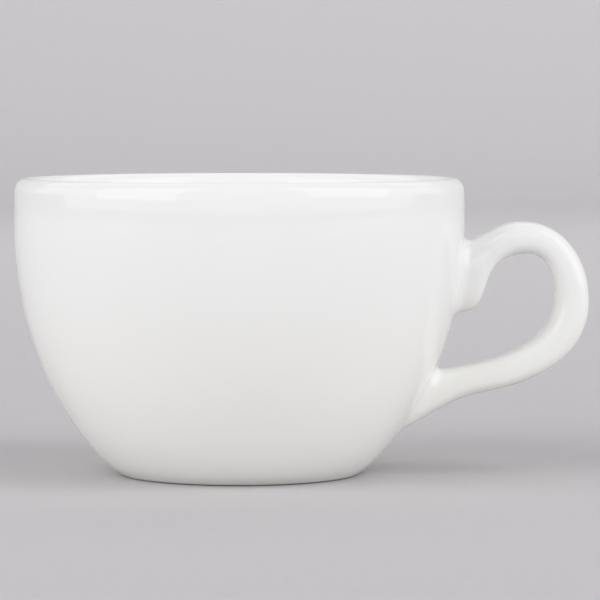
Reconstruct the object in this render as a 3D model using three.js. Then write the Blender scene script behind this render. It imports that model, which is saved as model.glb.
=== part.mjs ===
// Espresso cup in glazed white porcelain: a turned bowl and a cast loop handle, which two pads of clay slip
// join to the wall. Millimetres, +Z up. The cup stands on z = 0 with its handle towards +X, and the origin
// is the middle of its overall length and width.
import * as THREE from 'three';
import { LoftGeometry } from 'three/addons/geometries/LoftGeometry.js';

// Bowl, outside
const cupHeight = 44.7;
const widestRadius = 34;
const widestBelowRim = 6.2;
const rimRadius = 33.925;
const footRadius = 17.5; // outer edge of the ring that touches the table
const haunchOut = 1; // rounded edge of the foot, outwards
const haunchUp = 0.75; // and upwards
const haunchSlope = 38; // degrees by which the side leaves the foot
const haunchPull = 8.7; // how far the side keeps that slope
const bellyPull = 19; // how far it keeps upright below the widest height

// Bowl, inside and underneath
const lipWall = 3.4;
const lipHeight = 1.9; // height of the rounded lip
const lipLean = 2; // degrees by which the wall leans in where the lip starts
const footWall = 5.2; // thickness of the wall where it leaves the foot
const insideCornerHeight = 11; // outside height at which the inside turns towards the floor
const floorRadius = 7; // flat middle of the floor
const floorThickness = 5;
const footRingWidth = 2.4;
const footRecess = 1.4; // depth of the hollow inside the foot ring
const footRecessRound = 1.2;

// Handle: heights count from its outermost point, distances out from the bowl's widest radius
const handleLift = 3.85; // height of the outermost point above the middle of the cup
const handleReach = 18.8;
const handleWidth = 8.6;
const backThickness = 5.25;
const backInnerLift = 0.95; // how much higher the inside of the back lies
const crestOut = 8.7;
const crestRise = 11.95;
const crestThickness = 4.85;
const crestInnerShift = 0.8; // how much further out the inside of the crest lies
const armOut = 2.7;
const armDrop = 13.9; // underside of the lower arm
const armThickness = 4.65;
const armTopSlope = 14;
const armUnderSlope = 10;

// Upper end of the handle, with a short spur below it
const upperRootRise = 8.55;
const upperRootHeight = 10.95;
const upperRootWidth = 9.4;
const upperRootSlope = 27; // degrees by which its top edge climbs from the wall
const shoulderRun = 2.2; // length of that edge before the spur's corner
const neckRun = 5; // and up to the neck
const spurSlope = 20; // degrees by which the spur's underside climbs from the wall
const spurRun = 2.2;
const spurCornerOut = 3.2;
const spurCornerUp = 4.85;
const throatSlope = 70;

// Lower end of the handle
const lowerRootDrop = 10.8; // its top edge
const lowerRootHeight = 8.5;
const lowerRootWidth = 9.6;
const lowerRootTopSlope = 11; // degrees by which its top edge falls to the wall
const lowerRootSlope = 17; // and its underside

// Slip pads between the handle and the wall
const slipThickness = 1;
const jointGap = 0.3;
const slipSideFlare = 1.4;
const upperSlipTopFlare = 1.6;
const upperSlipBottomFlare = 1;
const lowerSlipTopFlare = 1;
const lowerSlipBottomFlare = 1.2;

// Fineness of the surfaces
const bowlSegments = 80;
const sidePoints = 12;
const edgePoints = 3;
const brimPoints = 2;
const lipPoints = 4; // on either side of the lip's top
const cornerPoints = 6;
const sectionPoints = 28;
const handleRows = 60;
const slipRows = 4;
const roundness = 0.4; // pull of an outline's knots, as a share of the distance between them
const quarterTurn = 0.5523; // pull of a curve along a quarter of an ellipse, as a share of its half axis
const squareness = 2.6; // exponent of the handle's section: 2 is an ellipse, more is squarer
const rootDepth = 1.5; // how far outlines run on into the wall before they are trimmed

// A point of an outline and the direction in which the outline passes it
function knot(x, z, degrees) {
  const turn = THREE.MathUtils.degToRad(degrees);
  return { at: new THREE.Vector2(x, z), along: new THREE.Vector2(Math.cos(turn), Math.sin(turn)) };
}

// The curve from one knot to the next
function flow(from, to, pullFrom, pullTo) {
  const pull = roundness * from.at.distanceTo(to.at);
  const leave = from.at.clone().addScaledVector(from.along, pullFrom ?? pull);
  const arrive = to.at.clone().addScaledVector(to.along, -(pullTo ?? pull));
  return new THREE.CubicBezierCurve(from.at, leave, arrive, to.at);
}

// Halves the way between low and high to where a rising function passes a value
function solve(rising, value, low, high) {
  const halvings = 40;
  for (let step = 0; step < halvings; step += 1) {
    const middle = (low + high) / 2;
    if (rising(middle) < value) low = middle;
    else high = middle;
  }
  return (low + high) / 2;
}

// Outside of the bowl, from the foot to the lip
const footEdge = knot(footRadius, 0, 0);
const haunch = knot(footRadius + haunchOut, haunchUp, haunchSlope);
const widest = knot(widestRadius, cupHeight - widestBelowRim, 90);
const lipEdge = knot(rimRadius, cupHeight - lipHeight, 90 + lipLean);
const lipTop = knot(rimRadius - lipWall / 2, cupHeight, 180);
const lipInside = knot(rimRadius - lipWall, cupHeight - lipHeight, 270);
const sideCurve = flow(haunch, widest, haunchPull, bellyPull);

// Radius and lean of the wall's outside at a height
function wallAt(z) {
  const t = solve((u) => sideCurve.getPoint(u).y, z, 0, 1);
  const along = sideCurve.getTangent(t);
  return { radius: sideCurve.getPoint(t).x, upright: along.y };
}

// Inside of the wall, opposite a point of its outside
function insideOf(t) {
  const along = sideCurve.getTangent(t);
  const inward = new THREE.Vector2(-along.y, along.x);
  return sideCurve.getPoint(t).addScaledVector(inward, THREE.MathUtils.lerp(footWall, lipWall, t));
}

function makeBowl() {
  const ringInside = footRadius - footRingWidth;
  const recessEdge = new THREE.QuadraticBezierCurve(
    new THREE.Vector2(ringInside - footRecessRound, footRecess),
    new THREE.Vector2(ringInside, footRecess),
    new THREE.Vector2(ringInside, 0),
  );
  const lipRise = quarterTurn * lipHeight;
  const lipRun = quarterTurn * lipWall / 2;

  // The inside follows the outside down to the corner, which rounds off to the flat floor
  const cornerStart = solve((u) => sideCurve.getPoint(u).y, insideCornerHeight, 0, 1);
  const insideWall = [];
  for (let i = 0; i <= sidePoints; i += 1) {
    insideWall.push(insideOf(THREE.MathUtils.lerp(1, cornerStart, i / sidePoints)));
  }
  const wallEnd = insideWall.at(-1);
  const downward = sideCurve.getTangent(cornerStart).negate();
  const drop = (wallEnd.y - floorThickness) / -downward.y;
  const cornerPoint = wallEnd.clone().addScaledVector(downward, drop);
  const insideCorner = new THREE.QuadraticBezierCurve(
    wallEnd, cornerPoint, new THREE.Vector2(floorRadius, floorThickness),
  );

  const profile = [
    new THREE.Vector2(0, footRecess),
    ...recessEdge.getPoints(edgePoints),
    ...flow(footEdge, haunch).getPoints(edgePoints),
    ...sideCurve.getPoints(sidePoints).slice(1),
    ...flow(widest, lipEdge).getPoints(brimPoints).slice(1),
    ...flow(lipEdge, lipTop, lipRise, lipRun).getPoints(lipPoints).slice(1),
    ...flow(lipTop, lipInside, lipRun, lipRise).getPoints(lipPoints).slice(1),
    ...insideWall,
    ...insideCorner.getPoints(cornerPoints).slice(1),
    new THREE.Vector2(0, floorThickness),
  ];
  return new THREE.LatheGeometry(profile, bowlSegments).rotateX(Math.PI / 2);
}

// Knots where an outline starts and ends, inside the wall
function rootKnot(z, degrees, depth) {
  const root = knot(wallAt(z).radius, z, degrees);
  root.at.addScaledVector(root.along, depth);
  return root;
}

// The handle's outer and inner outlines, paired station by station from the upper root to the lower one
const backHeight = cupHeight / 2 + handleLift;
const upperTop = backHeight + upperRootRise;
const upperBottom = upperTop - upperRootHeight;
const lowerTop = backHeight - lowerRootDrop;
const lowerBottom = lowerTop - lowerRootHeight;
const spurCorner = rootKnot(upperBottom, spurSlope, spurRun);
const crestX = widestRadius + crestOut;
const crestZ = backHeight + crestRise;
const backX = widestRadius + handleReach;
const armX = widestRadius + armOut;
const armZ = backHeight - armDrop;
const stations = [
  {
    name: 'upper root',
    outer: rootKnot(upperTop, upperRootSlope, -rootDepth),
    inner: rootKnot(upperBottom, spurSlope, -rootDepth),
    width: upperRootWidth,
  },
  {
    name: 'spur',
    outer: rootKnot(upperTop, upperRootSlope, shoulderRun),
    inner: spurCorner,
    width: upperRootWidth,
  },
  {
    name: 'neck',
    outer: rootKnot(upperTop, upperRootSlope, neckRun),
    inner: knot(spurCorner.at.x + spurCornerOut, spurCorner.at.y + spurCornerUp, throatSlope),
    width: handleWidth,
  },
  {
    name: 'crest',
    outer: knot(crestX, crestZ, 0),
    inner: knot(crestX + crestInnerShift, crestZ - crestThickness, 0),
    width: handleWidth,
  },
  {
    name: 'back',
    outer: knot(backX, backHeight, -90),
    inner: knot(backX - backThickness, backHeight + backInnerLift, -90),
    width: handleWidth,
  },
  {
    name: 'arm',
    outer: knot(armX, armZ, 180 + armUnderSlope),
    inner: knot(armX, armZ + armThickness, 180 + armTopSlope),
    width: handleWidth,
  },
  {
    name: 'lower root',
    outer: rootKnot(lowerBottom, 180 + lowerRootSlope, rootDepth),
    inner: rootKnot(lowerTop, 180 + lowerRootTopSlope, rootDepth),
    width: lowerRootWidth,
  },
];
const spans = stations.slice(1).map((station, i) => ({
  outer: flow(stations[i].outer, station.outer),
  inner: flow(stations[i].inner, station.inner),
  width: [stations[i].width, station.width],
}));

// Share of the handle's length at which each station lies
const reached = [0];
for (const span of spans) {
  reached.push(reached.at(-1) + (span.outer.getLength() + span.inner.getLength()) / 2);
}
const stationShares = reached.map((length) => length / reached.at(-1));
const shareOf = (name) => stationShares[stations.findIndex((station) => station.name === name)];

// A point of the handle's skin: turn goes round the section from the outer edge, share along the length
function skin(turn, share) {
  const i = Math.max(stationShares.findLastIndex((start) => start < share), 0);
  const span = spans[i];
  const t = THREE.MathUtils.inverseLerp(stationShares[i], stationShares[i + 1], share);
  const outer = span.outer.getPoint(t);
  const inner = span.inner.getPoint(t);
  const width = THREE.MathUtils.lerp(...span.width, THREE.MathUtils.smoothstep(t, 0, 1));
  const swell = (value) => Math.sign(value) * Math.abs(value) ** (2 / squareness);
  const edge = inner.lerp(outer, (1 + swell(Math.cos(turn))) / 2);
  return new THREE.Vector3(edge.x, -swell(Math.sin(turn)) * width / 2, edge.y);
}

// Distance of a point from the outside of the wall, and the point at an angle, height and distance
function offWall(point) {
  const wall = wallAt(point.z);
  return (Math.hypot(point.x, point.y) - wall.radius) * wall.upright;
}
function besideWall(angle, z, distance) {
  const wall = wallAt(z);
  const radius = wall.radius + distance / wall.upright;
  return new THREE.Vector3(radius * Math.cos(angle), radius * Math.sin(angle), z);
}

const turns = Array.from({ length: sectionPoints }, (_, i) => (2 * Math.PI * i) / sectionPoints);
const seat = slipThickness + 2 * jointGap;

// Share of the length at which a line of the skin is this far from the wall, at either end
const upperShare = (turn, distance) => (
  solve((share) => offWall(skin(turn, share)), distance, 0, shareOf('neck'))
);
const lowerShare = (turn, distance) => (
  solve((share) => offWall(skin(turn, share)), distance, 1, shareOf('arm'))
);

// Rings that close an end face: the section drawn in to half its size and to a point, all at the same
// distance from the wall
function endFace(ring, distance) {
  const middle = ring.reduce((sum, point) => sum.add(point), new THREE.Vector3()).divideScalar(ring.length);
  return [0.5, 1].map((inwards) => ring.map((point) => {
    const drawn = point.clone().lerp(middle, inwards);
    return besideWall(Math.atan2(drawn.y, drawn.x), drawn.z, distance);
  }));
}

function makeHandle() {
  const starts = turns.map((turn) => upperShare(turn, seat));
  const ends = turns.map((turn) => lowerShare(turn, seat));
  const sections = [];
  for (let row = 0; row <= handleRows; row += 1) {
    const along = row / handleRows;
    sections.push(turns.map((turn, i) => skin(turn, THREE.MathUtils.lerp(starts[i], ends[i], along))));
  }
  const upperFace = endFace(sections[0], seat).reverse();
  const lowerFace = endFace(sections.at(-1), seat);
  return new LoftGeometry([...upperFace, ...sections, ...lowerFace]);
}

// A slip pad carries the handle's section on to the wall and flares out to a fillet. These are its sections
// from the wall outwards.
function slipSections(shareAt, topFlare, bottomFlare) {
  const sections = [];
  for (let row = 0; row <= slipRows; row += 1) {
    const distance = jointGap + slipThickness * row / slipRows;
    const rise = 1 - distance / seat;
    const flare = 1 - Math.sqrt(1 - rise * rise);
    const ring = turns.map((turn) => skin(turn, shareAt(turn, distance)));
    const heights = ring.map((point) => point.z);
    const middle = (Math.max(...heights) + Math.min(...heights)) / 2;
    const halfHeight = Math.max(...heights) - middle;
    const halfAngle = Math.max(...ring.map((point) => Math.atan2(point.y, point.x)));
    const wall = wallAt(middle);
    const sideGrowth = 1 + flare * slipSideFlare / (halfAngle * wall.radius);
    sections.push(ring.map((point) => {
      const endFlare = point.z > middle ? topFlare : bottomFlare;
      const endGrowth = 1 + flare * endFlare * wall.upright / halfHeight;
      const z = middle + (point.z - middle) * endGrowth;
      return besideWall(Math.atan2(point.y, point.x) * sideGrowth, z, distance);
    }));
  }
  const wallFace = endFace(sections[0], jointGap).reverse();
  const handleFace = endFace(sections.at(-1), jointGap + slipThickness);
  return [...wallFace, ...sections, ...handleFace];
}

const makeUpperSlip = () => (
  new LoftGeometry(slipSections(upperShare, upperSlipTopFlare, upperSlipBottomFlare))
);

// Along the handle the lower pad comes last, so its sections run back to the wall
const makeLowerSlip = () => (
  new LoftGeometry(slipSections(lowerShare, lowerSlipTopFlare, lowerSlipBottomFlare).reverse())
);

// Each piece as a named mesh with its own finish
function piece(name, geometry, color, roughness) {
  const mesh = new THREE.Mesh(geometry, new THREE.MeshStandardMaterial({ color, roughness, metalness: 0 }));
  mesh.name = name;
  return mesh;
}

const cup = new THREE.Group();
cup.add(piece('bowl', makeBowl(), 0xeeede9, 0.12));
cup.add(piece('handle', makeHandle(), 0xebebe7, 0.12));
cup.add(piece('upper_slip_joint', makeUpperSlip(), 0xeae9e4, 0.15));
cup.add(piece('lower_slip_joint', makeLowerSlip(), 0xe8e7e2, 0.15));

// The pieces are drawn about the bowl's axis, and the origin is the middle of the whole
cup.position.x = -new THREE.Box3().setFromObject(cup).getCenter(new THREE.Vector3()).x;

export default cup;
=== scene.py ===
"""A white porcelain espresso cup in a pale studio.

The cup is a glazed bowl, a loop handle and the two clay fillets that join them.
"""
import math

import bpy
import numpy as np
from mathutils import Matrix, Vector


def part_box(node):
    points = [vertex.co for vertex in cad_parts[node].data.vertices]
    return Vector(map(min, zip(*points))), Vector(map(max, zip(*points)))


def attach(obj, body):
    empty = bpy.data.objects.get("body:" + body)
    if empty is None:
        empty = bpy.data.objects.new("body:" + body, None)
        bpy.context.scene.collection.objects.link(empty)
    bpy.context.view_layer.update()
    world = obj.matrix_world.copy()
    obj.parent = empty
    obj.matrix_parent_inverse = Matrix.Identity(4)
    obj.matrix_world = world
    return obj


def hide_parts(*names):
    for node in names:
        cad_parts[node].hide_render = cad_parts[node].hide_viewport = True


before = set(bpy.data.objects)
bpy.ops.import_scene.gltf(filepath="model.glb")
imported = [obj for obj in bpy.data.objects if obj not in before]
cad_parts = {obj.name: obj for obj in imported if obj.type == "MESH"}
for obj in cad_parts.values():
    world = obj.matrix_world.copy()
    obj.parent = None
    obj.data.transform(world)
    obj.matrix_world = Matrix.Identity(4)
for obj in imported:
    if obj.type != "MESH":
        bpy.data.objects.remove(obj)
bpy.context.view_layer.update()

# Sizes that the frame gives, in metres
bowl_low, bowl_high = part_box("bowl")
handle_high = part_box("handle")[1]
AXIS_X = (bowl_low.x + bowl_high.x) / 2
CUP_HEIGHT = bowl_high.z
WIDEST_RADIUS = (bowl_high.y - bowl_low.y) / 2
HANDLE_REACH = handle_high.x - AXIS_X - WIDEST_RADIUS

# Bowl, outside: sizes in metres, slopes in degrees, here and below
WIDEST_BELOW_RIM = 0.0062
RIM_RADIUS = 0.033925
FOOT_RADIUS = 0.0175
HAUNCH_OUT = 0.00154  # the rounded haunch ends this far outside the foot's radius
HAUNCH_UP = 0.00075
HAUNCH_SLOPE = 34
HAUNCH_PULL = 0.00495  # pulls of the side's curve, at the haunch and at the widest point
BELLY_PULL = 0.0221

# Bowl, inside and underneath
LIP_WALL = 0.0034
LIP_HEIGHT = 0.0019
LIP_LEAN = 2  # how far the wall leans in where the lip starts
FOOT_WALL = 0.0052
INSIDE_CORNER_HEIGHT = 0.011
FLOOR_RADIUS = 0.007
FLOOR_THICKNESS = 0.005
FOOT_RING_WIDTH = 0.0024
FOOT_RECESS = 0.0014
FOOT_RECESS_ROUND = 0.0012
RING_EDGE = 0.0003  # rounding of the ring's inner edge

# Handle: heights count from its outermost point, distances out from the bowl's widest radius
HANDLE_LIFT = 0.00385  # of the outermost point, above half the cup's height
HANDLE_WIDTH = 0.0086
BACK_THICKNESS = 0.00525
BACK_INNER_LIFT = 0.00095
CREST_OUT = 0.0087
CREST_RISE = 0.01195
CREST_THICKNESS = 0.00485
CREST_INNER_SHIFT = 0.0008
ARM_OUT = 0.0027
ARM_DROP = 0.0139
ARM_THICKNESS = 0.00465
ARM_TOP_SLOPE = 14
ARM_UNDER_SLOPE = 10

# Ends of the handle: runs count along an outline from the wall
UPPER_ROOT_RISE = 0.00855
UPPER_ROOT_HEIGHT = 0.0105
UPPER_ROOT_WIDTH = 0.0094
UPPER_ROOT_SLOPE = 27
SHOULDER_RUN = 0.0022
NECK_RUN = 0.005
SPUR_SLOPE = 8
SPUR_RUN = 0.0019
SPUR_CORNER_OUT = 0.0032
SPUR_CORNER_UP = 0.00485
THROAT_SLOPE = 70
LOWER_ROOT_DROP = 0.0108
LOWER_ROOT_HEIGHT = 0.0085
LOWER_ROOT_WIDTH = 0.0096
LOWER_ROOT_TOP_SLOPE = 11
LOWER_ROOT_SLOPE = 17
ROOT_DEPTH = 0.0015  # how far the outlines run on inside the wall

# Clay fillets between the handle and the wall
FILLET_DEPTH = 0.0016  # how far from the wall the handle's own skin starts
FILLET_SINK = 0.000006  # how far a fillet's edge is sunk into the wall
SIDE_FLARE = 0.0014
UPPER_TOP_FLARE = 0.0016
UPPER_BOTTOM_FLARE = 0.0006
LOWER_TOP_FLARE = 0.0015
LOWER_BOTTOM_FLARE = 0.0009

# Roundness of curves and sections
ROUNDNESS = 0.4  # pull of an outline's knots, as a share of the distance between them
QUARTER_TURN = 0.5523  # pull of a cubic curve that follows a quarter of an ellipse
SQUARENESS = 3.0  # power of the handle's section, where 2 is an ellipse

# Fineness of the meshes and of the curves behind them
BOWL_SEGMENTS = 256
SIDE_POINTS = 64
EDGE_POINTS = 8
LIP_POINTS = 16
SECTION_POINTS = 84
HANDLE_ROWS = 250
FILLET_ROWS = 20
SMOOTHING_PASSES = 16
HALVINGS = 40  # steps in which a place on a curve is searched
LENGTH_POINTS = 200  # points on which a curve's length is measured
END_INSET = 0.9  # share to which the hidden end faces are drawn in

# Camera: the photograph's viewing angle
CAMERA_X = -0.00027
CAMERA_DISTANCE = 0.5187
CAMERA_HEIGHT = 0.05732
CAMERA_PITCH = 3.432
CAMERA_LENS = 206.0
SENSOR_WIDTH = 36.0

# Stage: a paper floor that sweeps up far behind the cup
STAGE_DROP = 0.00005  # keeps the floor just under the foot
STAGE_REACH = 12.0
SWEEP_START = 1.2
SWEEP_RADIUS = 0.7
SWEEP_HEIGHT = 2.0
SWEEP_POINTS = 24

# Lights: place, point that the light faces, width and height, radiance
LIGHTS = {
    "left_softbox": ((-0.84, -0.5, 0.63), (-0.3, 0.27, 0.28), (0.96, 1.16), 2.3),
    "right_softbox": ((1.16, -0.39, 0.77), (0.81, 0.45, 0.37), (1.42, 1.42), 2.25),
    "front_panel": ((0, -1.5, 0.36), (0, 0, 0.36), (2.4, 0.48), 0.55),
    "left_panel": ((-1.3, 0.35, 0.5), (0, 0.35, 0.5), (1.2, 0.8), 0.65),
    "right_panel": ((1.3, 0.35, 0.5), (0, 0.35, 0.5), (1.2, 0.8), 0.65),
    "top_panel": ((0, 0.6, 0.7), (0, 0, 0), (1.6, 0.4), 0.75),
    "backdrop_wash": ((0, 0.9, 0.85), (0, 1.6, 0.2), (2.4, 0.6), 1.3),
}
CEILING_LIGHT = 0.29  # radiance of the room overhead
WALL_LIGHT = 0.8  # what the pale walls add at the horizon
WALL_FADE = 4  # power by which that fades upwards

# Film: brightness of the scene and of the picture; highlights roll off towards white
FILM_CURVE = ((0.4, 0.4), (0.8, 0.8), (1.0, 0.925), (1.3, 0.985))
FILM_WHITE = 2.0

# Porcelain and its glaze: linear colours, texture scales in waves per metre
BODY_WHITE = (0.883, 0.883, 0.877)
BODY_SHADE = (0.871, 0.871, 0.863)
# lighter, warmer colour low down: partly thicker glaze, partly painted bounce light on the lower body
POOLED_GLAZE_AND_PAINTED_FILL = (0.898, 0.899, 0.866)
BISQUE = (0.76, 0.72, 0.64)
CLOUD_SCALE = 40
CLOUD_DETAIL = 3
# heights over which that lighter, warmer colour, glaze and painted bounce light, fades in towards the foot
POOL_AND_PAINTED_FILL_TOP = 0.034
POOL_AND_PAINTED_FILL_BOTTOM = 0.012
BARE_HEIGHT = 0.00025  # the foot ring is wiped clean of glaze up to here
BARE_EDGE = 0.0001
RIPPLE_SCALE = 230
RIPPLE_DETAIL = 2
RIPPLE_DEPTH = 0.000003
GLOSS_SCALE = 110
GLOSS_DETAIL = 4
GLAZE_ROUGHNESS = (0.02, 0.05)
GLAZE_IOR = 1.6
BISQUE_ROUGHNESS = 0.65
NOISE_RANGE = (0.3, 0.7)  # in which most of a noise's values lie

# Paper of the stage
PAPER_TONE = (0.555, 0.539, 0.555)
PAPER_ROUGHNESS = 0.9
PAPER_SHEEN = 0.1
FIBRE_SCALE = 900
FIBRE_DETAIL = 4
FIBRE_TONE = (0.97, 1.03)
FIBRE_DEPTH = 0.00002

# Places of sockets and curves in Blender's own lists
MIX_FIRST, MIX_SECOND, MIX_RESULT = 6, 7, 2  # colour sockets of a Mix node
COMBINED_CURVE = 3  # the film curve that acts on all colours


# Curves

def steps(count):
    """Evenly spaced values from 0 to 1."""
    return np.linspace(0, 1, count)


def knot(x, z, degrees):
    """A point of an outline and the direction in which the outline passes it."""
    turn = math.radians(degrees)
    return np.array([x, z]), np.array([math.cos(turn), math.sin(turn)])


def flow(start, end, start_pull=None, end_pull=None):
    """Control points of the cubic curve from one knot to the next."""
    pull = ROUNDNESS * np.linalg.norm(end[0] - start[0])
    leave = start[0] + start[1] * (pull if start_pull is None else start_pull)
    arrive = end[0] - end[1] * (pull if end_pull is None else end_pull)
    return np.array([start[0], leave, arrive, end[0]])


def bezier(controls, t):
    """Points of a curve, or of one curve for each value of t, of any degree."""
    points = np.asarray(controls, float)
    t = np.asarray(t, float)[..., None, None]
    while points.shape[-2] > 1:
        points = points[..., :-1, :] * (1 - t) + points[..., 1:, :] * t
    return points[..., 0, :]


def slope_of(controls, t):
    """Unit direction of a cubic curve."""
    along = bezier(np.diff(np.asarray(controls, float), axis=-2), t)
    return along / np.linalg.norm(along, axis=-1, keepdims=True)


def length_of(controls):
    """Length of a curve."""
    points = bezier(controls, steps(LENGTH_POINTS))
    return np.linalg.norm(np.diff(points, axis=0), axis=1).sum()


def solve(rising, value, low, high):
    """Where a function that rises from low to high passes a value, by halving, for whole arrays at once."""
    low, high, value = np.broadcast_arrays(*(np.asarray(x, float) for x in (low, high, value)))
    for _ in range(HALVINGS):
        middle = (low + high) / 2
        below = rising(middle) < value
        low, high = np.where(below, middle, low), np.where(below, high, middle)
    return (low + high) / 2


# Meshes

def add_object(name, data):
    """Puts an object of this mesh, light or camera into the scene."""
    added = bpy.data.objects.new(name, data)
    bpy.context.scene.collection.objects.link(added)
    return added


def mesh_piece(name, points, faces):
    """A smooth-shaded mesh object of these points and faces."""
    mesh = bpy.data.meshes.new(name)
    mesh.from_pydata(points.tolist(), [], faces)
    mesh.update()
    mesh.shade_smooth()
    return add_object(name, mesh)


def grid_faces(rows, columns):
    """Quads between rows of points, each row a closed ring."""
    return [
        (r * columns + c, r * columns + (c + 1) % columns,
         (r + 1) * columns + (c + 1) % columns, (r + 1) * columns + c)
        for r in range(rows - 1) for c in range(columns)
    ]


def grid_normals(rings):
    """Outward normals of rows of rings, from the directions along and around them."""
    along = np.gradient(rings, axis=0)
    around = np.roll(rings, -1, axis=1) - np.roll(rings, 1, axis=1)
    normal = np.cross(around, along)
    return normal / np.linalg.norm(normal, axis=-1, keepdims=True)


# Bowl

foot_edge = knot(FOOT_RADIUS, 0, 0)
haunch = knot(FOOT_RADIUS + HAUNCH_OUT, HAUNCH_UP, HAUNCH_SLOPE)
widest = knot(WIDEST_RADIUS, CUP_HEIGHT - WIDEST_BELOW_RIM, 90)
lip_edge = knot(RIM_RADIUS, CUP_HEIGHT - LIP_HEIGHT, 90 + LIP_LEAN)
lip_top = knot(RIM_RADIUS - LIP_WALL / 2, CUP_HEIGHT, 180)
lip_inside = knot(RIM_RADIUS - LIP_WALL, CUP_HEIGHT - LIP_HEIGHT, 270)
side_curve = flow(haunch, widest, HAUNCH_PULL, BELLY_PULL)


def side_share(z):
    """Where on the side's curve each height lies."""
    return solve(lambda t: bezier(side_curve, t)[..., 1], z, 0, 1)


def wall_at(z):
    """Radius of the wall's outside at each height, and how upright it is: 1 where it stands straight up."""
    t = side_share(z)
    return bezier(side_curve, t)[..., 0], slope_of(side_curve, t)[..., 1]


def inside_of(t):
    """Inside of the wall, opposite points of its outside."""
    along = slope_of(side_curve, t)
    inward = np.stack([-along[..., 1], along[..., 0]], -1)
    thickness = FOOT_WALL + (LIP_WALL - FOOT_WALL) * np.asarray(t)
    return bezier(side_curve, t) + inward * thickness[..., None]


def underside():
    """Stretches of the section from the middle of the underside to the foot's edge."""
    ring_inside = FOOT_RADIUS - FOOT_RING_WIDTH
    recess = bezier([
        (ring_inside - FOOT_RECESS_ROUND, FOOT_RECESS),
        (ring_inside, FOOT_RECESS),
        (ring_inside, RING_EDGE),
    ], steps(EDGE_POINTS))
    ring_edge = bezier([
        (ring_inside, RING_EDGE),
        (ring_inside, 0),
        (ring_inside + RING_EDGE, 0),
    ], steps(EDGE_POINTS))
    ring = np.linspace(ring_edge[-1], foot_edge[0], EDGE_POINTS)
    return [[(0, FOOT_RECESS)], recess, ring_edge[1:], ring[1:]]


def outside():
    """Stretches of the section from the foot's edge up the side and over the lip."""
    foot = bezier(flow(foot_edge, haunch), steps(EDGE_POINTS))
    side = bezier(side_curve, steps(SIDE_POINTS))
    brim = bezier(flow(widest, lip_edge), steps(EDGE_POINTS))
    rise = QUARTER_TURN * LIP_HEIGHT
    run = QUARTER_TURN * LIP_WALL / 2
    lip_front = bezier(flow(lip_edge, lip_top, rise, run), steps(LIP_POINTS))
    lip_back = bezier(flow(lip_top, lip_inside, run, rise), steps(LIP_POINTS))
    return [foot[1:], side[1:], brim[1:], lip_front[1:], lip_back[1:]]


def inside():
    """Stretches of the section from below the lip to the middle of the floor."""
    corner_start = float(side_share(INSIDE_CORNER_HEIGHT))
    wall = inside_of(np.linspace(1, corner_start, SIDE_POINTS))
    downward = -slope_of(side_curve, corner_start)
    meeting = wall[-1] + downward * (wall[-1][1] - FLOOR_THICKNESS) / -downward[1]
    corner = bezier([wall[-1], meeting, (FLOOR_RADIUS, FLOOR_THICKNESS)], steps(SIDE_POINTS // 2))
    return [wall, corner[1:], [(0, FLOOR_THICKNESS)]]


def make_bowl():
    """The bowl: its section, of radii and heights, turned about the axis."""
    stretches = underside() + outside() + inside()
    profile = np.concatenate([np.asarray(stretch, float) for stretch in stretches])
    rings = profile[1:-1]
    angle = np.linspace(0, 2 * math.pi, BOWL_SEGMENTS, endpoint=False)
    points = np.stack([
        AXIS_X + rings[:, :1] * np.cos(angle),
        rings[:, :1] * np.sin(angle),
        np.broadcast_to(rings[:, 1:], (len(rings), BOWL_SEGMENTS)),
    ], -1).reshape(-1, 3)
    poles = [(AXIS_X, 0, profile[0][1]), (AXIS_X, 0, profile[-1][1])]
    faces = grid_faces(len(rings), BOWL_SEGMENTS)
    under = len(points)
    floor = under + 1
    last = (len(rings) - 1) * BOWL_SEGMENTS
    for i in range(BOWL_SEGMENTS):
        after = (i + 1) % BOWL_SEGMENTS
        faces.append((under, after, i))
        faces.append((floor, last + i, last + after))
    return mesh_piece("porcelain_bowl", np.concatenate([points, poles]), faces)


# Outlines of the handle, paired station by station from the upper root to the lower one

def root_knot(z, degrees, run):
    """A knot this far along an outline from the point where it meets the wall."""
    at, along = knot(float(wall_at(z)[0]), z, degrees)
    return at + along * run, along


back_height = CUP_HEIGHT / 2 + HANDLE_LIFT
upper_top = back_height + UPPER_ROOT_RISE
upper_bottom = upper_top - UPPER_ROOT_HEIGHT
lower_top = back_height - LOWER_ROOT_DROP
lower_bottom = lower_top - LOWER_ROOT_HEIGHT
spur_corner = root_knot(upper_bottom, SPUR_SLOPE, SPUR_RUN)
crest_x = WIDEST_RADIUS + CREST_OUT
crest_z = back_height + CREST_RISE
back_x = WIDEST_RADIUS + HANDLE_REACH
arm_x = WIDEST_RADIUS + ARM_OUT
arm_z = back_height - ARM_DROP
outer_knots = [
    root_knot(upper_top, UPPER_ROOT_SLOPE, -ROOT_DEPTH),
    root_knot(upper_top, UPPER_ROOT_SLOPE, SHOULDER_RUN),
    root_knot(upper_top, UPPER_ROOT_SLOPE, NECK_RUN),
    knot(crest_x, crest_z, 0),
    knot(back_x, back_height, -90),
    knot(arm_x, arm_z, 180 + ARM_UNDER_SLOPE),
    root_knot(lower_bottom, 180 + LOWER_ROOT_SLOPE, ROOT_DEPTH),
]
inner_knots = [
    root_knot(upper_bottom, SPUR_SLOPE, -ROOT_DEPTH),
    spur_corner,
    knot(spur_corner[0][0] + SPUR_CORNER_OUT, spur_corner[0][1] + SPUR_CORNER_UP, THROAT_SLOPE),
    knot(crest_x + CREST_INNER_SHIFT, crest_z - CREST_THICKNESS, 0),
    knot(back_x - BACK_THICKNESS, back_height + BACK_INNER_LIFT, -90),
    knot(arm_x, arm_z + ARM_THICKNESS, 180 + ARM_TOP_SLOPE),
    root_knot(lower_top, 180 + LOWER_ROOT_TOP_SLOPE, ROOT_DEPTH),
]
station_widths = np.array([UPPER_ROOT_WIDTH] * 2 + [HANDLE_WIDTH] * 4 + [LOWER_ROOT_WIDTH])
NECK, ARM = 2, 5  # stations between which the handle is clear of the wall
outer_curves = np.array([flow(a, b) for a, b in zip(outer_knots, outer_knots[1:])])
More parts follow.
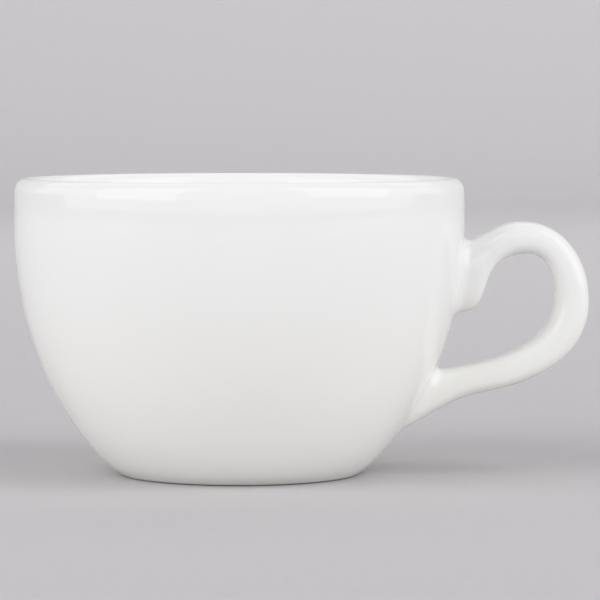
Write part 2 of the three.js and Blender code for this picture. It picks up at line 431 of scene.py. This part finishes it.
inner_curves = np.array([flow(a, b) for a, b in zip(inner_knots, inner_knots[1:])])
spans = [(length_of(a) + length_of(b)) / 2 for a, b in zip(outer_curves, inner_curves)]
reached = np.cumsum([0] + spans)
station_shares = reached / reached[-1]


# Skin of the handle

turns = np.linspace(0, 2 * math.pi, SECTION_POINTS, endpoint=False)


def swell(value):
    """Makes a round section squarer."""
    return np.sign(value) * np.abs(value) ** (2 / SQUARENESS)


def skin(turn, share):
    """Points of the skin: turn goes round the section from the outer edge, share along the length."""
    turn, share = np.broadcast_arrays(turn, share)
    span = np.clip(np.searchsorted(station_shares, share) - 1, 0, len(outer_curves) - 1)
    start, end = station_shares[span], station_shares[span + 1]
    t = (share - start) / (end - start)
    outer = bezier(outer_curves[span], t)
    inner = bezier(inner_curves[span], t)
    within = np.clip(t, 0, 1)
    eased = within ** 2 * (3 - 2 * within)
    width = station_widths[span] + (station_widths[span + 1] - station_widths[span]) * eased
    outward = (1 + swell(np.cos(turn)))[..., None] / 2
    edge = inner + (outer - inner) * outward
    return np.stack([edge[..., 0], -swell(np.sin(turn)) * width / 2, edge[..., 1]], -1)


def off_wall(points):
    """Distance of points from the outside of the wall."""
    radius, upright = wall_at(points[..., 2])
    return (np.hypot(points[..., 0], points[..., 1]) - radius) * upright


def beside_wall(angle, z, distance):
    """Points at an angle about the axis, a height and a distance from the wall."""
    radius, upright = wall_at(z)
    radius = radius + distance / upright
    return np.stack([radius * np.cos(angle), radius * np.sin(angle), z], -1)


def share_off_wall(distance, root, clear):
    """Share of the length, between two shares, at which each line of the skin is this far from the wall."""
    return solve(lambda s: off_wall(skin(turns, s)), distance, np.full(SECTION_POINTS, root), clear)


def upper_share(distance):
    """Share of the length at which the skin is this far from the wall, at the upper end."""
    return share_off_wall(distance, 0, station_shares[NECK])


def lower_share(distance):
    """The same at the lower end."""
    return share_off_wall(distance, 1, station_shares[ARM])


def handle_rings():
    """Rings of the handle between its fillets, smoothed along its length."""
    starts = upper_share(FILLET_DEPTH)
    ends = lower_share(FILLET_DEPTH)
    rings = skin(turns, starts + (ends - starts) * steps(HANDLE_ROWS + 1)[:, None])
    for _ in range(SMOOTHING_PASSES):
        rings[1:-1] = (rings[:-2] + 2 * rings[1:-1] + rings[2:]) / 4
    return rings


def fillet_rings(share_at, top_flare, bottom_flare):
    """Rings of a fillet from the wall outwards: the handle's section, flared out along the wall."""
    rings = []
    for lean in np.linspace(math.pi / 2, 0, FILLET_ROWS + 1):
        distance = FILLET_DEPTH * (1 - math.sin(lean))
        flare = 1 - math.cos(lean)
        ring = skin(turns, share_at(distance))
        angle = np.arctan2(ring[:, 1], ring[:, 0])
        z = ring[:, 2]
        middle = (z.max() + z.min()) / 2
        radius, upright = wall_at(middle)
        side_growth = 1 + flare * SIDE_FLARE / (angle.max() * radius)
        end_flare = np.where(z > middle, top_flare, bottom_flare)
        end_growth = 1 + flare * end_flare * upright / (z.max() - middle)
        rings.append(beside_wall(angle * side_growth, middle + (z - middle) * end_growth, distance))
    return np.array(rings)


def ring_piece(name, rings, normals):
    """A closed piece of rings, shaded on into its neighbours, with end faces drawn in behind the seams."""
    count = rings.shape[1]
    first = rings[0].mean(0)
    last = rings[-1].mean(0)
    rows = np.concatenate([
        [first + (rings[0] - first) * END_INSET], rings, [last + (rings[-1] - last) * END_INSET],
    ])
    points = rows.reshape(-1, 3) + (AXIS_X, 0, 0)
    faces = grid_faces(len(rows), count)
    faces.append(tuple(reversed(range(count))))
    faces.append(tuple(range(len(points) - count, len(points))))
    piece = mesh_piece(name, points, faces)
    unset = np.zeros((1, count, 3))  # leaves the drawn-in rings their own shading
    piece.data.normals_split_custom_set_from_vertices(
        np.concatenate([unset, normals, unset]).reshape(-1, 3).tolist(),
    )
    return piece


def make_handle_pieces():
    """The upper fillet, the handle and the lower fillet, cut from one run of rings."""
    upper = fillet_rings(upper_share, UPPER_TOP_FLARE, UPPER_BOTTOM_FLARE)
    lower = fillet_rings(lower_share, LOWER_TOP_FLARE, LOWER_BOTTOM_FLARE)[::-1]
    rings = np.concatenate([upper, handle_rings()[1:-1], lower])
    normals = grid_normals(rings)
    rings[0] -= normals[0] * FILLET_SINK
    rings[-1] -= normals[-1] * FILLET_SINK
    seam = FILLET_ROWS - 1
    end = len(rings) - 1 - seam
    return [
        ring_piece("upper_fillet", rings[:seam + 1], normals[:seam + 1]),
        ring_piece("porcelain_handle", rings[seam:end + 1], normals[seam:end + 1]),
        ring_piece("lower_fillet", rings[end:], normals[end:]),
    ]


# Materials

def connect(tree, value, socket):
    """Links a node's output to a socket, or sets the socket to a number or colour."""
    if isinstance(value, bpy.types.NodeSocket):
        tree.links.new(value, socket)
    else:
        socket.default_value = value


def add_node(tree, kind, inputs, output=0, **settings):
    """A node with these settings and inputs; gives one of its outputs."""
    node = tree.nodes.new(kind)
    for name, value in settings.items():
        setattr(node, name, value)
    for key, value in inputs.items():
        connect(tree, value, node.inputs[key])
    return node.outputs[output]


def calculate(tree, operation, *values):
    """The result of a sum on values that may come from other nodes."""
    return add_node(tree, "ShaderNodeMath", dict(enumerate(values)), operation=operation)


def noise(tree, place, scale, detail):
    """Random clouds, from about 0 to 1."""
    return add_node(tree, "ShaderNodeTexNoise", {"Vector": place, "Scale": scale, "Detail": detail})


def ramp(tree, value, start, end, low=0.0, high=1.0):
    """Goes smoothly from low to high as the value goes from start to end."""
    return add_node(
        tree, "ShaderNodeMapRange",
        {"Value": value, "From Min": start, "From Max": end, "To Min": low, "To Max": high},
        interpolation_type="SMOOTHSTEP",
    )


def bump(tree, height, depth):
    """Normals of a surface that rises by this depth where the height is 1."""
    return add_node(tree, "ShaderNodeBump", {"Height": height, "Strength": 1.0, "Distance": depth})


def mix(tree, factor, first, second):
    """Goes from the first colour to the second."""
    node = tree.nodes.new("ShaderNodeMix")
    node.data_type = "RGBA"
    connect(tree, factor, node.inputs["Factor"])
    for colour, socket in ((first, node.inputs[MIX_FIRST]), (second, node.inputs[MIX_SECOND])):
        connect(tree, colour if isinstance(colour, bpy.types.NodeSocket) else (*colour, 1), socket)
    return node.outputs[MIX_RESULT]


def new_material(name):
    """A material, its nodes, the place on the object and the shader that the looks go into."""
    material = bpy.data.materials.new(name)
    material.use_nodes = True
    tree = material.node_tree
    place = add_node(tree, "ShaderNodeTexCoord", {}, "Object")
    return material, tree, place, tree.nodes["Principled BSDF"]


def make_glaze(name):
    """White porcelain under a clear glaze, which has run thicker and warmer towards the foot; there it is
    also painted lighter and warmer, as painted bounce light on the lower body.
    """
    material, tree, place, shader = new_material(name)
    height = add_node(tree, "ShaderNodeSeparateXYZ", {"Vector": place}, "Z")
    clouds = ramp(tree, noise(tree, place, CLOUD_SCALE, CLOUD_DETAIL), *NOISE_RANGE)
    body = mix(tree, clouds, BODY_WHITE, BODY_SHADE)
    # towards the foot: thicker glaze and painted bounce light, lighter and warmer
    glazed = mix(tree, ramp(tree, height, POOL_AND_PAINTED_FILL_TOP, POOL_AND_PAINTED_FILL_BOTTOM), body, POOLED_GLAZE_AND_PAINTED_FILL)
    bare = ramp(tree, height, BARE_HEIGHT, BARE_HEIGHT - BARE_EDGE)
    patches = noise(tree, place, GLOSS_SCALE, GLOSS_DETAIL)
    gloss = ramp(tree, patches, *NOISE_RANGE, *GLAZE_ROUGHNESS)
    ripples = noise(tree, place, RIPPLE_SCALE, RIPPLE_DETAIL)
    connect(tree, mix(tree, bare, glazed, BISQUE), shader.inputs["Base Color"])
    connect(tree, ramp(tree, bare, 0, 1, gloss, BISQUE_ROUGHNESS), shader.inputs["Roughness"])
    connect(tree, bump(tree, ripples, RIPPLE_DEPTH), shader.inputs["Normal"])
    shader.inputs["IOR"].default_value = GLAZE_IOR
    return material


def make_paper():
    """Matt paper with a fine grain."""
    material, tree, place, shader = new_material("stage_paper")
    fibres = noise(tree, place, FIBRE_SCALE, FIBRE_DETAIL)
    dark, light = ([c * share for c in PAPER_TONE] for share in FIBRE_TONE)
    connect(tree, mix(tree, fibres, dark, light), shader.inputs["Base Color"])
    connect(tree, bump(tree, fibres, FIBRE_DEPTH), shader.inputs["Normal"])
    shader.inputs["Roughness"].default_value = PAPER_ROUGHNESS
    shader.inputs["Specular IOR Level"].default_value = PAPER_SHEEN
    return material


# Stage, lights and camera

def make_stage():
    """A sheet of paper: flat under the cup and swept up far behind it."""
    turn = np.linspace(0, math.pi / 2, SWEEP_POINTS)
    front = (-STAGE_REACH, -STAGE_DROP)
    sweep = np.stack([
        SWEEP_START + SWEEP_RADIUS * np.sin(turn), SWEEP_RADIUS * (1 - np.cos(turn)) - STAGE_DROP,
    ], 1)
    top = (SWEEP_START + SWEEP_RADIUS, SWEEP_HEIGHT)
    profile = np.concatenate([[front], sweep, [top]])
    points = [(side * STAGE_REACH, y, z) for y, z in profile for side in (-1, 1)]
    faces = [(2 * i, 2 * i + 1, 2 * i + 3, 2 * i + 2) for i in range(len(profile) - 1)]
    stage = mesh_piece("stage_paper", np.array(points), faces)
    stage.data.materials.append(make_paper())


def make_softbox(name, place, aim, size, radiance):
    """A rectangular light that faces a point."""
    light = bpy.data.lights.new(name, "AREA")
    light.shape = "RECTANGLE"
    light.size, light.size_y = size
    light.energy = radiance * math.pi * size[0] * size[1]
    holder = add_object(name, light)
    holder.location = place
    holder.rotation_euler = (Vector(aim) - Vector(place)).to_track_quat("-Z", "Y").to_euler()


def make_world():
    """Soft light from all round, stronger from the pale walls than from overhead."""
    world = bpy.data.worlds.new("studio")
    world.use_nodes = True
    tree = world.node_tree
    direction = add_node(tree, "ShaderNodeTexCoord", {}, "Generated")
    height = add_node(tree, "ShaderNodeSeparateXYZ", {"Vector": direction}, "Z")
    lowness = calculate(tree, "SUBTRACT", 1.0, calculate(tree, "ABSOLUTE", height))
    wall = calculate(tree, "POWER", lowness, WALL_FADE)
    room = tree.nodes["Background"]
    room.inputs["Color"].default_value = (1, 1, 1, 1)
    connect(tree, calculate(tree, "MULTIPLY_ADD", wall, WALL_LIGHT, CEILING_LIGHT), room.inputs["Strength"])
    bpy.context.scene.world = world


def set_film():
    """Shows highlights as a photograph does."""
    view = bpy.context.scene.view_settings
    view.view_transform = "Standard"
    view.use_curve_mapping = True
    film = view.curve_mapping
    film.clip_max_x = FILM_WHITE
    curve = film.curves[COMBINED_CURVE]
    curve.points[-1].location = (FILM_WHITE, 1)
    for bright, shown in FILM_CURVE:
        curve.points.new(bright, shown)
    film.update()


def make_camera():
    """A long lens a little above the rim, looking slightly down."""
    camera = bpy.data.cameras.new("camera")
    camera.lens = CAMERA_LENS
    camera.sensor_width = SENSOR_WIDTH
    holder = add_object("camera", camera)
    holder.location = (CAMERA_X, -CAMERA_DISTANCE, CAMERA_HEIGHT)
    holder.rotation_euler = (math.radians(90 - CAMERA_PITCH), 0, 0)
    bpy.context.scene.camera = holder


# Scene

make_camera()
make_world()
make_stage()
for light_name, settings in LIGHTS.items():
    make_softbox(light_name, *settings)
set_film()

# Pieces, and the nodes of the frame that they stand for
bowl = make_bowl()
upper_fillet, handle, lower_fillet = make_handle_pieces()
porcelain = make_glaze("porcelain_glaze")
slip_glaze = make_glaze("slip_glaze")
for piece, node, slot, material in (
    (bowl, "bowl", "glazed_porcelain", porcelain),
    (handle, "handle", "glazed_porcelain", porcelain),
    (upper_fillet, "upper_slip_joint", "glazed_slip", slip_glaze),
    (lower_fillet, "lower_slip_joint", "glazed_slip", slip_glaze),
):
    piece.data.materials.append(material)
    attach(piece, "root")
    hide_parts(node)
